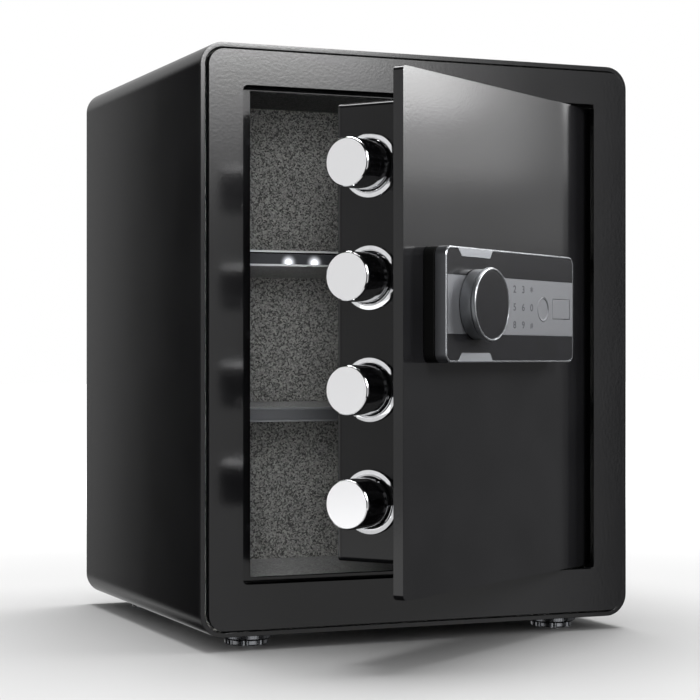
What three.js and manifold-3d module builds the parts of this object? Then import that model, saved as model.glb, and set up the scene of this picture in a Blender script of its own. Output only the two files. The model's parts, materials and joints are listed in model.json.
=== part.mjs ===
// Electronic home safe with four live bolts, its door standing part open.
// Millimetres. +X is to the right seen from the front, +Y runs from front to back, +Z is up.
// Sizes inside the model are measured from the front edge of the shell (y = 0) and from the floor
// (z = 0). The whole safe is then set back so that the origin is the middle of its footprint.

import * as THREE from 'three';
import { mergeVertices } from 'three/addons/utils/BufferGeometryUtils.js';
import Module from 'manifold-3d';

const wasm = await Module();
wasm.setup();

// ---------------------------------------------------------------- driving dimensions

const GAP = 0.3; // between pieces that touch
const ORIGIN_BACK = 81.3; // from the shell's front edge to the origin

// cabinet
const HALF_WIDTH = 180;
const DEPTH = 316;
const FOOT_HEIGHT = 10;
const HEIGHT = 450;
const CORNER = 17.5; // outer radius of the four long edges
const WALL = 3.5;
const GROOVE = 1.8; // dark line between the shell's edge and the front panel
const PANEL_PROUD = 4;
const PANEL = 3; // sheet thickness of the front frame
const SKIRT_BACK = 8; // how far the frame's outer skirt reaches into the shell

// door opening in the front frame
const OPEN_HALF = 148.3;
const OPEN_LOW = 48.4;
const OPEN_HIGH = 418.8;
const OPEN_CORNER = 4;
const LEDGE_FRONT = 10;
const LEDGE_BACK = 13;
const LEDGE_LEFT = -137.5;
const LEDGE_LOW = 52.5;
const LEDGE_HIGH = 416;
const LEDGE_END = 108; // the ledges stop here, clear of the hinge bosses and the door's hinge edge

// lining and shelves
const FELT = 3;
const FLOOR_TOP = 34;
const SHELF_FRONT = 85;
const SHELF_TRIM_DEPTH = 8;
const SHELVES = [
  { name: 'upper', low: 289.5, high: 302 },
  { name: 'lower', low: 166, high: 177.5 },
];
const RAIL = { thick: 2, leg: 12, drop: 15, front: 100, back: 300 };
const LED_SLOT = { low: 291.5, high: 296.5, deep: 2.4, half: 150 };

// feet
const FOOT_X = 131.5;
const FOOT_FRONT_Y = 36;
const FOOT_BACK_Y = 280;
const FOOT_RADIUS = 19;
const FOOT_LOBES = 8;

// door
const HINGE = { x: 120.5, y: 20.4 };
const DOOR_OPEN = THREE.MathUtils.degToRad(34.7);
const PLATE = { half: 146.8, front: -4, back: 4, low: 50.4, high: 417.2, corner: 4 };
const BOX = { left: -130.8, right: 136.8, front: 4.3, back: 56.7, low: 73.3, high: 396, wall: 2.5 };
const COVER = 2.3;

// bolt work
const BOLT_HEIGHTS = [116, 194.4, 272.7, 351.2];
const BOLT_RADIUS = 17.5;
const BOLT_Y = 31.9;
const BOLT_TIP = -162.7;
const BOLT_END = -108.8;
const BOLT_TIP_BEVEL = 2;
const RING = { outer: 22.75, inner: 18.1, deep: 2.2, lip: 2.6 };
const BAR = { left: -108.5, right: -104.8, front: 16, back: 48, low: 92, high: 375 };
const BOLT_TRAVEL = 28;

// knob, spindle and crank
const KNOB = { x: -77.2, z: 254.3, radius: 25, rim: 26.2, back: -22.9, front: -36 };
const SPINDLE_RADIUS = 4.9;
const CRANK_TURN = THREE.MathUtils.degToRad(80);
const CRANK_THROW = BOLT_TRAVEL / (2 * Math.sin(CRANK_TURN / 2));
const CRANK_PIN = 4;

// lock panel on the front of the door
const LOCK = { left: -120.1, right: 77.9, low: 213.3, high: 294.5, corner: 7 };
const LOCK_BASE_FRONT = -12.9;
const LOCK_FACE = -22.5;
const BAND = { low: 233.5, high: 274.5 };
const BORDER = 1.6;
const INLAY = 1.3; // thickness of the glass and of the keypad band
const SENSOR = { x: 26.7, z: 253.2, radius: 9.1 };
const FLAP = { left: 42.5, right: 71, low: 246.5, high: 261.1, thick: 1.2 };
const TABS = [-97.5, -56.4]; // ends of the bright tabs along the top and bottom borders
const TAB_DEEP = 6;

// lock works inside the door
const PLUNGER = { x: -56.2, y: 17.5, radius: 3, tip: 175, top: 205 };
const SOLENOID = { left: -68, right: -44, front: 8, back: 28, low: 180, high: 214 };
const BATTERY = { left: 2, right: 70, low: 93, high: 150, front: 36 };

// ---------------------------------------------------------------- solids

// turns a closed three.js geometry into a solid, with its faces pointing out
function solid(geometry) {
  const bare = geometry.clone();
  bare.deleteAttribute('normal');
  bare.deleteAttribute('uv');
  const merged = mergeVertices(bare, 1e-4);
  const points = Float32Array.from(merged.attributes.position.array);
  const corners = merged.index.array;
  const faces = [];
  let volume = 0;
  for (let i = 0; i < corners.length; i += 3) {
    const [a, b, c] = [corners[i], corners[i + 1], corners[i + 2]];
    if (a === b || b === c || c === a) continue;
    faces.push([a, b, c]);
    const [p, q, r] = [a, b, c].map((k) => new THREE.Vector3().fromArray(points, 3 * k));
    volume += p.dot(q.cross(r));
  }
  const order = volume > 0 ? faces : faces.map(([a, b, c]) => [a, c, b]);
  const mesh = new wasm.Mesh({
    numProp: 3,
    vertProperties: points,
    triVerts: Uint32Array.from(order.flat()),
  });
  return new wasm.Manifold(mesh);
}

function box(x0, x1, y0, y1, z0, z1) {
  const geometry = new THREE.BoxGeometry(x1 - x0, y1 - y0, z1 - z0);
  geometry.translate((x0 + x1) / 2, (y0 + y1) / 2, (z0 + z1) / 2);
  return solid(geometry);
}

// outline in the X-Z plane with rounded corners
function panelShape(x0, x1, z0, z1, radius) {
  const shape = new THREE.Shape();
  shape.moveTo(x0 + radius, z0);
  shape.lineTo(x1 - radius, z0);
  shape.absarc(x1 - radius, z0 + radius, radius, -Math.PI / 2, 0);
  shape.absarc(x1 - radius, z1 - radius, radius, 0, Math.PI / 2);
  shape.absarc(x0 + radius, z1 - radius, radius, Math.PI / 2, Math.PI);
  shape.absarc(x0 + radius, z0 + radius, radius, Math.PI, 1.5 * Math.PI);
  return shape;
}

// a shape in the X-Z plane, carried along Y from y0 to y1
function slab(shape, y0, y1, curveSegments = 5) {
  const geometry = new THREE.ExtrudeGeometry(shape, {
    depth: y1 - y0,
    bevelEnabled: false,
    curveSegments,
  });
  geometry.rotateX(Math.PI / 2);
  geometry.translate(0, y1, 0);
  return solid(geometry);
}

function panel(x0, x1, y0, y1, z0, z1, radius) {
  return slab(panelShape(x0, x1, z0, z1, radius), y0, y1);
}

// a body of revolution from [radius, place along the axis] points
function turned(profile, axis, centre, segments = 36) {
  const points = profile.map(([r, h]) => new THREE.Vector2(r, h));
  const geometry = new THREE.LatheGeometry(points, segments);
  if (axis === 'x') geometry.rotateZ(-Math.PI / 2);
  if (axis === 'z') geometry.rotateX(Math.PI / 2);
  geometry.translate(...centre);
  return solid(geometry);
}

function rod(radius, from, to, axis, centre, segments = 24) {
  return turned([[0, from], [radius, from], [radius, to], [0, to]], axis, centre, segments);
}

function ring(outer, inner, from, to, axis, centre, segments = 24) {
  const profile = [[inner, from], [outer, from], [outer, to], [inner, to], [inner, from]];
  return turned(profile, axis, centre, segments);
}

function joined(pieces) {
  return pieces.reduce((whole, piece) => whole.add(piece));
}

function cut(whole, pieces) {
  return pieces.reduce((rest, piece) => rest.subtract(piece), whole);
}

// ---------------------------------------------------------------- finishes

const FINISHES = {
  blackPaint: { color: 0x1d1d1f, roughness: 0.42, metalness: 0.3 },
  felt: { color: 0x4b4b4a, roughness: 1, metalness: 0 },
  chrome: { color: 0xd9dadb, roughness: 0.08, metalness: 1 },
  polishedTrim: { color: 0x8f9194, roughness: 0.2, metalness: 0.9 },
  satinMetal: { color: 0x77787b, roughness: 0.38, metalness: 0.85 },
  blackGlass: { color: 0x232326, roughness: 0.12, metalness: 0 },
  blackPlastic: { color: 0x141415, roughness: 0.5, metalness: 0 },
  steel: { color: 0x9a9c9f, roughness: 0.35, metalness: 1 },
  brass: { color: 0xb08d4a, roughness: 0.3, metalness: 1 },
  circuit: { color: 0x1f5b3a, roughness: 0.6, metalness: 0 },
  lens: { color: 0xf2f6ff, roughness: 0.2, metalness: 0 },
};

function part(parent, name, body, finish, shift = [0, 0, 0]) {
  const { vertProperties, triVerts } = body.getMesh();
  const geometry = new THREE.BufferGeometry();
  geometry.setAttribute('position', new THREE.BufferAttribute(vertProperties.slice(), 3));
  geometry.setIndex(new THREE.BufferAttribute(triVerts.slice(), 1));
  geometry.translate(...shift);
  geometry.computeVertexNormals();
  const mesh = new THREE.Mesh(geometry, new THREE.MeshStandardMaterial(FINISHES[finish]));
  mesh.name = name;
  parent.add(mesh);
}

// ---------------------------------------------------------------- cabinet

const safe = new THREE.Group();
safe.position.y = -ORIGIN_BACK;

const INNER_X = HALF_WIDTH - WALL - GAP;
const INNER_LOW = FOOT_HEIGHT + WALL + GAP;
const INNER_HIGH = HEIGHT - WALL - GAP;
const INNER_CORNER = CORNER - WALL - GAP;
const FELT_X = INNER_X - FELT;
const FELT_BACK = DEPTH - WALL - GAP - FELT;

function insidePanel(inset, y0, y1) {
  return panel(
    inset - INNER_X,
    INNER_X - inset,
    y0,
    y1,
    INNER_LOW + inset,
    INNER_HIGH - inset,
    INNER_CORNER - inset,
  );
}

function shell() {
  const outer = panel(-HALF_WIDTH, HALF_WIDTH, 0, DEPTH, FOOT_HEIGHT, HEIGHT, CORNER);
  return cut(outer, [insidePanel(-GAP, -1, DEPTH + 1)]);
}

function frontFrame() {
  const edge = GROOVE - GAP; // the face is this much smaller all round than the shell's inside
  const face = insidePanel(edge, -PANEL_PROUD, PANEL - PANEL_PROUD);
  const skirt = cut(insidePanel(edge, PANEL - PANEL_PROUD, SKIRT_BACK), [
    insidePanel(edge + PANEL, -PANEL_PROUD, SKIRT_BACK + 1),
  ]);
  const flange = cut(insidePanel(0, SKIRT_BACK - PANEL, SKIRT_BACK), [
    insidePanel(edge + PANEL, -PANEL_PROUD, SKIRT_BACK + 1),
  ]);
  const sleeve = panel(
    -OPEN_HALF - PANEL,
    LEDGE_END,
    PANEL - PANEL_PROUD,
    LEDGE_BACK,
    OPEN_LOW - PANEL,
    OPEN_HIGH + PANEL,
    OPEN_CORNER,
  );
  const doorway = panel(
    -OPEN_HALF,
    OPEN_HALF,
    -PANEL_PROUD - 1,
    LEDGE_FRONT,
    OPEN_LOW,
    OPEN_HIGH,
    OPEN_CORNER,
  );
  const inside = box(LEDGE_LEFT, OPEN_HALF, 0, LEDGE_BACK + 1, LEDGE_LOW, LEDGE_HIGH);
  // the hinge-side lip is relieved on an arc, so the door's edge can swing past it
  const relief = rod(36.7, OPEN_LOW, OPEN_HIGH, 'z', [HINGE.x, HINGE.y, 0], 72).intersect(
    box(LEDGE_END, HALF_WIDTH, -PANEL_PROUD - 1, SKIRT_BACK, OPEN_LOW, OPEN_HIGH),
  );
  return cut(joined([face, skirt, flange, sleeve]), [doorway, inside, relief]);
}

function lining() {
  return cut(insidePanel(0, SKIRT_BACK + GAP, DEPTH - WALL - GAP), [
    insidePanel(FELT, 0, DEPTH),
  ]);
}

const CORNER_LOW = INNER_LOW + INNER_CORNER;
const CORNER_HIGH = INNER_HIGH - INNER_CORNER;

function liningPart(x0, x1, z0, z1) {
  return lining().intersect(box(x0, x1, 0, FELT_BACK - GAP, z0, z1));
}

part(safe, 'shell', shell(), 'blackPaint');
part(safe, 'back_plate', insidePanel(0, DEPTH - WALL, DEPTH), 'blackPaint');
part(safe, 'front_frame', frontFrame(), 'blackPaint');

const JAMB = { left: 160, thick: 3, back: 62 };
const jamb = joined([
  box(JAMB.left, JAMB.left + JAMB.thick, GAP - 1, JAMB.back, FLOOR_TOP + GAP, CORNER_HIGH),
  box(JAMB.left, FELT_X - GAP, JAMB.back - JAMB.thick, JAMB.back, FLOOR_TOP + GAP, CORNER_HIGH),
]);
part(safe, 'hinge_jamb', jamb, 'blackPaint');

part(safe, 'felt_ceiling', liningPart(-HALF_WIDTH, HALF_WIDTH, CORNER_HIGH + GAP, HEIGHT), 'felt');
part(safe, 'felt_base', liningPart(-HALF_WIDTH, HALF_WIDTH, 0, CORNER_LOW - GAP), 'felt');
part(safe, 'felt_left', liningPart(-HALF_WIDTH, 0, CORNER_LOW, CORNER_HIGH), 'felt');
part(safe, 'felt_right', liningPart(0, HALF_WIDTH, CORNER_LOW, CORNER_HIGH), 'felt');
part(safe, 'felt_back', insidePanel(0, FELT_BACK, DEPTH - WALL - GAP), 'felt');
const FLOOR_LOW = INNER_LOW + FELT + GAP;
const floorBoard = panel(
  GAP - FELT_X,
  FELT_X - GAP,
  SKIRT_BACK + GAP,
  FELT_BACK - GAP,
  FLOOR_LOW,
  2 * FLOOR_TOP,
  INNER_CORNER - FELT - GAP,
).intersect(box(-HALF_WIDTH, HALF_WIDTH, 0, DEPTH, 0, FLOOR_TOP));
part(safe, 'floor_board', floorBoard, 'felt');

for (const shelf of SHELVES) {
  const left = GAP - FELT_X;
  const right = FELT_X - GAP;
  const trimBack = SHELF_FRONT + SHELF_TRIM_DEPTH;
  const board = box(left, right, trimBack + GAP, FELT_BACK - GAP, shelf.low + 0.5, shelf.high - 0.5);
  part(safe, `${shelf.name}_shelf`, board, 'felt');
  let trim = box(left, right, SHELF_FRONT, trimBack, shelf.low, shelf.high);
  if (shelf.name === 'upper') {
    const slotBack = SHELF_FRONT + LED_SLOT.deep;
    trim = trim.subtract(
      box(-LED_SLOT.half, LED_SLOT.half, 0, slotBack, LED_SLOT.low, LED_SLOT.high),
    );
    const bar = box(
      GAP - LED_SLOT.half,
      LED_SLOT.half - GAP,
      SHELF_FRONT + 0.2,
      slotBack - GAP,
      LED_SLOT.low + GAP,
      LED_SLOT.high - GAP,
    );
    part(safe, 'led_bar', bar, 'lens');
  }
  part(safe, `${shelf.name}_shelf_trim`, trim, 'polishedTrim');
  for (const [side, sign] of [['left', -1], ['right', 1]]) {
    const wallSide = FELT_X - GAP;
    const top = shelf.low + 0.5 - GAP;
    const low = top - RAIL.drop;
    const spanX = (a, b) => [Math.min(sign * a, sign * b), Math.max(sign * a, sign * b)];
    const rail = joined([
      box(...spanX(wallSide, wallSide - RAIL.thick), RAIL.front, RAIL.back, low, top),
      box(...spanX(wallSide, wallSide - RAIL.leg), RAIL.front, RAIL.back, top - RAIL.thick, top),
    ]);
    part(safe, `${shelf.name}_rail_${side}`, rail, 'steel');
  }
}

// a levelling foot: a disc with a lobed pad under it and a stud up into the base
function foot(x, y) {
  const top = FOOT_HEIGHT - GAP;
  const disc = rod(FOOT_RADIUS, 4.4, top, 'z', [x, y, 0], 32);
  const pad = new THREE.Shape();
  const steps = FOOT_LOBES * 4;
  for (let i = 0; i < steps; i += 1) {
    const turn = (2 * Math.PI * i) / steps;
    const radius = 15.2 + 1.8 * Math.cos(FOOT_LOBES * turn);
    const to = i === 0 ? 'moveTo' : 'lineTo';
    pad[to](radius * Math.cos(turn), radius * Math.sin(turn));
  }
  const lobes = new THREE.ExtrudeGeometry(pad, { depth: 4.6, bevelEnabled: false });
  lobes.translate(x, y, 0);
  return disc.add(solid(lobes));
}

part(safe, 'foot_front_left', foot(-FOOT_X, FOOT_FRONT_Y), 'chrome');
part(safe, 'foot_front_right', foot(FOOT_X, FOOT_FRONT_Y), 'chrome');
part(safe, 'foot_back_left', foot(-FOOT_X, FOOT_BACK_Y), 'chrome');
part(safe, 'foot_back_right', foot(FOOT_X, FOOT_BACK_Y), 'chrome');

// hinge brackets: a foot on the front frame's skirt, an arm and a boss that holds the pin
const BRACKET = { left: 96, right: 159, front: 2, back: 44, thick: 5, boss: 10 };
const PIN_RADIUS = 4;
const pinCentre = [HINGE.x, HINGE.y, 0];

function bracket(armLow, bossLow, bossHigh) {
  const arm = box(
    BRACKET.left,
    BRACKET.right,
    BRACKET.front,
    BRACKET.back,
    armLow,
    armLow + BRACKET.thick,
  );
  const lug = rod(BRACKET.boss, bossLow, bossHigh, 'z', pinCentre);
  const bore = rod(PIN_RADIUS + GAP, bossLow - 1, bossHigh + 1, 'z', pinCentre);
  return arm.add(lug).subtract(bore);
}

const UPPER_ARM = OPEN_HIGH + PANEL + GAP;
const LOWER_ARM = OPEN_LOW - PANEL - GAP - BRACKET.thick;
const BUSH_PROUD = 1;
const upperBossLow = BOX.high + BUSH_PROUD + GAP;
const lowerBossHigh = BOX.low - BUSH_PROUD - GAP;
const upperBracket = bracket(UPPER_ARM, upperBossLow, UPPER_ARM + BRACKET.thick);
const lowerBracket = bracket(LOWER_ARM, LOWER_ARM, lowerBossHigh);
part(safe, 'hinge_bracket_upper', upperBracket, 'blackPaint');
part(safe, 'hinge_bracket_lower', lowerBracket, 'blackPaint');
const upperPin = rod(PIN_RADIUS, BOX.high - 14, UPPER_ARM + BRACKET.thick + 2, 'z', pinCentre);
const lowerPin = rod(PIN_RADIUS, LOWER_ARM - 2, BOX.low + 14, 'z', pinCentre);
part(safe, 'hinge_pin_upper', upperPin, 'steel');
part(safe, 'hinge_pin_lower', lowerPin, 'steel');

// ---------------------------------------------------------------- door
// Everything on the door is drawn as if the door were shut, then moved so that its own
// origin is on the hinge pins and turned open about them.

const door = new THREE.Group();
door.position.set(HINGE.x, HINGE.y, 0);
door.rotation.z = DOOR_OPEN;
safe.add(door);

function doorPart(name, body, finish) {
  part(door, name, body, finish, [-HINGE.x, -HINGE.y, 0]);
}

const knobCentre = [KNOB.x, 0, KNOB.z];

function doorPlate() {
  const plate = panel(
    -PLATE.half,
    PLATE.half,
    PLATE.front,
    PLATE.back,
    PLATE.low,
    PLATE.high,
    PLATE.corner,
  );
  return plate.subtract(rod(6.5, PLATE.front - 1, PLATE.back + 1, 'y', knobCentre));
}

function doorBox() {
  const { left, right, front, back, low, high, wall } = BOX;
  const outer = box(left, right, front, back, low, high);
  const hollow = box(left + wall, right - wall, front - 1, back + 1, low + wall, high - wall);
  const boltHoles = BOLT_HEIGHTS.map((z) => (
    rod(RING.inner, left - 1, left + wall + 1, 'x', [0, BOLT_Y, z])
  ));
  const hingeHoles = rod(7 + GAP, low - 1, high + 1, 'z', pinCentre);
  return cut(outer, [hollow, ...boltHoles, hingeHoles]);
}

doorPart('door_plate', doorPlate(), 'blackPaint');
doorPart('door_box', doorBox(), 'blackPaint');

const LID_GAP = 0.6;
const coverBack = BOX.back + GAP + COVER;
const lidHole = box(
  BATTERY.left - LID_GAP,
  BATTERY.right + LID_GAP,
  BOX.back,
  coverBack + 1,
  BATTERY.low - LID_GAP,
  BATTERY.high + LID_GAP,
);
const cover = panel(BOX.left, BOX.right, BOX.back + GAP, coverBack, BOX.low, BOX.high, 3);
doorPart('door_cover', cover.subtract(lidHole), 'blackPaint');

// flanged bushes that turn on the hinge pins
function bush(wallOuter, outward) {
  const collar = outward > 0 ? [wallOuter + GAP / 3, wallOuter + BUSH_PROUD]
    : [wallOuter - BUSH_PROUD, wallOuter - GAP / 3];
  const sleeve = outward > 0 ? [wallOuter - 8, wallOuter + GAP] : [wallOuter - GAP, wallOuter + 8];
  return joined([
    ring(9.5, PIN_RADIUS + GAP, ...collar, 'z', pinCentre),
    ring(7, PIN_RADIUS + GAP, ...sleeve, 'z', pinCentre),
  ]);
}

doorPart('hinge_bush_upper', bush(BOX.high, 1), 'brass');
doorPart('hinge_bush_lower', bush(BOX.low, -1), 'brass');

// dished ring round each bolt, on the edge of the door box
function boltRing(z) {
  const seat = BOX.left - GAP;
  const profile = [
    [RING.inner, seat],
    [RING.outer, seat],
    [RING.outer - 0.8, seat - RING.deep],
    [RING.inner + 2, seat - 0.9],
    [RING.inner + 0.8, seat - RING.lip],
    [RING.inner, seat - RING.lip],
    [RING.inner, seat],
  ];
  return turned(profile, 'x', [0, BOLT_Y, z]);
}

BOLT_HEIGHTS.forEach((z, i) => {
  doorPart(`bolt_ring_${i + 1}`, boltRing(z), 'chrome');
});

// second wall inside the door that keeps the bolts square
const GUIDE = { left: -124, right: -121, front: 8, back: 55, low: 80, high: 390 };
const guideHoles = BOLT_HEIGHTS.map((z) => (
  rod(RING.inner, GUIDE.left - 1, GUIDE.right + 1, 'x', [0, BOLT_Y, z])
));
const guide = box(GUIDE.left, GUIDE.right, GUIDE.front, GUIDE.back, GUIDE.low, GUIDE.high);
doorPart('bolt_guide', cut(guide, guideHoles), 'steel');

// ---------------------------------------------------------------- lock panel

const spindleHole = rod(6.5, LOCK_FACE - 1, 0, 'y', knobCentre);

function lockPanel(y0, y1) {
  return panel(LOCK.left, LOCK.right, y0, y1, LOCK.low, LOCK.high, LOCK.corner);
}

doorPart('lock_base', lockPanel(LOCK_BASE_FRONT, PLATE.front - GAP).subtract(spindleHole),
  'blackPlastic');

const INLAY_BACK = LOCK_FACE + INLAY;
const POCKET_BACK = INLAY_BACK + GAP;

// bright tab that steps in from the middle of a border, narrower towards its tip
function tab(edge, direction) {
  const shape = new THREE.Shape();
  shape.moveTo(TABS[0] - 6, edge);
  shape.lineTo(TABS[1] + 4, edge);
  shape.lineTo(TABS[1], edge + direction * TAB_DEEP);
  shape.lineTo(TABS[0], edge + direction * TAB_DEEP);
  return shape;
}

function tabs(grow) {
  const top = slab(tab(LOCK.high - BORDER / 2, -1), LOCK_FACE, POCKET_BACK + 1);
  const bottom = slab(tab(LOCK.low + BORDER / 2, 1), LOCK_FACE, POCKET_BACK + 1);
  if (!grow) return [top, bottom];
  // the same tabs a gap wider, to cut their place in the glass
  return [[top, -GAP], [bottom, GAP]].flatMap(([piece, dz]) => (
    [-GAP, 0, GAP].flatMap((dx) => [piece.translate([dx, -1, dz]), piece.translate([dx, 0, dz])])
  ));
}

function lockBezel() {
  const pocket = panel(
    LOCK.left + BORDER,
    LOCK.right - BORDER,
    LOCK_FACE - 1,
    POCKET_BACK,
    LOCK.low + BORDER,
    LOCK.high - BORDER,
    LOCK.corner - BORDER,
  );
  const frame = lockPanel(LOCK_FACE, LOCK_BASE_FRONT - 0.7).subtract(pocket);
  const sensorSeat = rod(SENSOR.radius + GAP, LOCK_FACE, LOCK_FACE + 4, 'y', sensorCentre);
  const flapWell = box(
    FLAP.left - 0.4,
    FLAP.right + 0.6,
    LOCK_FACE,
    LOCK_FACE + 5,
    FLAP.low - 0.4,
    FLAP.high + 0.4,
  );
  return cut(joined([frame, ...tabs(false)]), [spindleHole, sensorSeat, flapWell]);
}

const sensorCentre = [SENSOR.x, 0, SENSOR.z];
doorPart('lock_bezel', lockBezel(), 'satinMetal');

function inlay(low, high) {
  const inset = BORDER + GAP;
  const whole = panel(
    LOCK.left + inset,
    LOCK.right - inset,
    LOCK_FACE,
    INLAY_BACK,
    LOCK.low + inset,
    LOCK.high - inset,
    LOCK.corner - inset,
  );
  return whole.intersect(box(LOCK.left, LOCK.right, LOCK_FACE - 1, 0, low, high));
}

doorPart('glass_upper', cut(inlay(BAND.high + GAP, LOCK.high), tabs(true)), 'blackGlass');
doorPart('glass_lower', cut(inlay(LOCK.low, BAND.low - GAP), tabs(true)), 'blackGlass');

const flapOpening = box(
  FLAP.left - 0.4,
  FLAP.right + 0.6,
  LOCK_FACE - 1,
  0,
  FLAP.low - 0.4,
  FLAP.high + 0.4,
);
const sensorHole = rod(SENSOR.radius + GAP, LOCK_FACE - 1, 0, 'y', sensorCentre);
doorPart('keypad_band', cut(inlay(BAND.low, BAND.high), [spindleHole, sensorHole, flapOpening]),
  'satinMetal');

const sensor = turned([[0, LOCK_FACE + 3.6], [SENSOR.radius, LOCK_FACE + 3.6],
  [SENSOR.radius, LOCK_FACE], [7.6, LOCK_FACE - 0.2], [7.2, LOCK_FACE + 0.3],
  [0, LOCK_FACE + 0.3]], 'y', sensorCentre);
doorPart('fingerprint_sensor', sensor, 'satinMetal');

// emergency key: the cylinder's face sits in the well behind the flap
const keyCentre = [(FLAP.left + FLAP.right) / 2, 0, (FLAP.low + FLAP.high) / 2];
const keyFace = rod(5.5, LOCK_FACE + 2.4, LOCK_FACE + 4.7, 'y', keyCentre);
const keySlot = box(keyCentre[0] - 0.6, keyCentre[0] + 0.6, LOCK_FACE, LOCK_FACE + 3.6,
  keyCentre[2] - 3.4, keyCentre[2] + 3.4);
doorPart('key_cylinder', keyFace.subtract(keySlot), 'brass');

// ---------------------------------------------------------------- lock works

function boxOf({ left, right, front, back, low, high }) {
  return box(left, right, front, back, low, high);
}

const plungerBore = rod(PLUNGER.radius + GAP, SOLENOID.low - 1, PLUNGER.top + 1, 'z',
  [PLUNGER.x, PLUNGER.y, 0]);
doorPart('solenoid', boxOf(SOLENOID).subtract(plungerBore), 'steel');
doorPart('circuit_board', box(-30, 70, 8, 9.6, 205, 300), 'circuit');

const tray = box(
  BATTERY.left,
  BATTERY.right,
  BATTERY.front,
  BOX.back - GAP,
  BATTERY.low,
  BATTERY.high,
);
const trayHollow = box(
  BATTERY.left + 2,
  BATTERY.right - 2,
  BATTERY.front + 2,
  BOX.back + 1,
  BATTERY.low + 2,
  BATTERY.high - 2,
);
doorPart('battery_tray', tray.subtract(trayHollow), 'blackPlastic');

// lid over the battery tray, turning on a pin line along its right edge
const lid = box(BATTERY.left, BATTERY.right, BOX.back + GAP, coverBack, BATTERY.low, BATTERY.high);
doorPart('battery_lid', lid, 'blackPlastic');

// flap over the emergency keyhole, turning on a pin line along its right edge
doorPart('key_flap', box(FLAP.left, FLAP.right, LOCK_FACE, LOCK_FACE + FLAP.thick, FLAP.low,
  FLAP.high), 'satinMetal');

const plunger = rod(PLUNGER.radius, PLUNGER.tip, PLUNGER.top, 'z', [PLUNGER.x, PLUNGER.y, 0], 24);
doorPart('plunger', plunger, 'steel');

// ---------------------------------------------------------------- bolts and bar

function bolt(z) {
  const profile = [
    [0, BOLT_TIP],
    [BOLT_RADIUS - BOLT_TIP_BEVEL, BOLT_TIP],
    [BOLT_RADIUS, BOLT_TIP + BOLT_TIP_BEVEL],
    [BOLT_RADIUS, BOLT_END],
    [0, BOLT_END],
  ];
  return turned(profile, 'x', [0, BOLT_Y, z]);
}

BOLT_HEIGHTS.forEach((z, i) => {
  doorPart(`bolt_${i + 1}`, bolt(z), 'chrome');
});

// the bar that ties the bolts, with a yoke for the crank pin and a stop for the plunger
function boltBar() {
  const web = boxOf(BAR);
  const pinX = KNOB.x - CRANK_THROW * Math.sin(CRANK_TURN / 2);
  const pinLow = KNOB.z + CRANK_THROW * Math.cos(CRANK_TURN / 2);
  const pinHigh = KNOB.z + CRANK_THROW;
  const play = CRANK_PIN + 0.8;
  const yoke = box(BAR.right - 1, pinX + 10, BAR.front, BAR.front + 3, pinLow - 13, pinHigh + 13);
  const slot = box(pinX - play, pinX + play, 0, BAR.back, pinLow - play, pinHigh + play);
  const arm = box(BAR.right - 1, -60, BAR.front, BAR.front + 3, 156, 162);
  const stop = box(-66, -60, 13, 22, 156, 172);
  return joined([web, yoke, arm, stop]).subtract(slot);
}

doorPart('bolt_bar', boltBar(), 'steel');

// ---------------------------------------------------------------- knob

function knobBody() {
  const { radius, rim, back, front } = KNOB;
  const profile = [
    [0, back],
    [radius, back],
    [radius, front + 4.4],
    [rim, front + 3.4],
    [rim, front],
    [rim - 1.9, front],
    [rim - 1.9, front + 1.8],
    [0, front + 1.8],
  ];
  const bore = rod(SPINDLE_RADIUS + GAP, back - 8, back + 1, 'y', [0, 0, 0]);
  return turned(profile, 'y', [0, 0, 0]).subtract(bore).translate(knobCentre);
}

doorPart('knob', knobBody(), 'satinMetal');
const cap = rod(KNOB.rim - 1.9 - GAP, KNOB.front + 0.3, KNOB.front + 1.5, 'y', knobCentre, 36);
doorPart('knob_cap', cap, 'blackGlass');

// spindle through the door, with a crank arm and pin behind the plate
function spindle() {
  const shaft = rod(SPINDLE_RADIUS, KNOB.back - 7.6, 12, 'y', [0, 0, 0]);
  const lean = CRANK_TURN / 2;
  const pinX = -CRANK_THROW * Math.sin(lean);
  const pinZ = CRANK_THROW * Math.cos(lean);
  const arm = new THREE.Shape();
  arm.absarc(0, 0, 9, Math.PI, 2 * Math.PI);
  arm.absarc(0, CRANK_THROW, 7, 0, Math.PI);
  const web = slab(arm, 8, 12).rotate([0, -THREE.MathUtils.radToDeg(lean), 0]);
  const pin = rod(CRANK_PIN, 10, 21, 'y', [pinX, 0, pinZ]);
  return joined([shaft, web, pin]).translate(knobCentre);
}

doorPart('crank_spindle', spindle(), 'steel');


export default safe;
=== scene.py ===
"""An electronic home safe, its door part open: the looks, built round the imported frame.

Metres. +X is to the right seen from the front, +Y runs from front to back, +Z is up.
Pieces of the door are modelled as if the door were shut and are then stood open about the hinge.
"""

import json
import math

import bpy
from mathutils import Matrix, Vector

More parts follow.
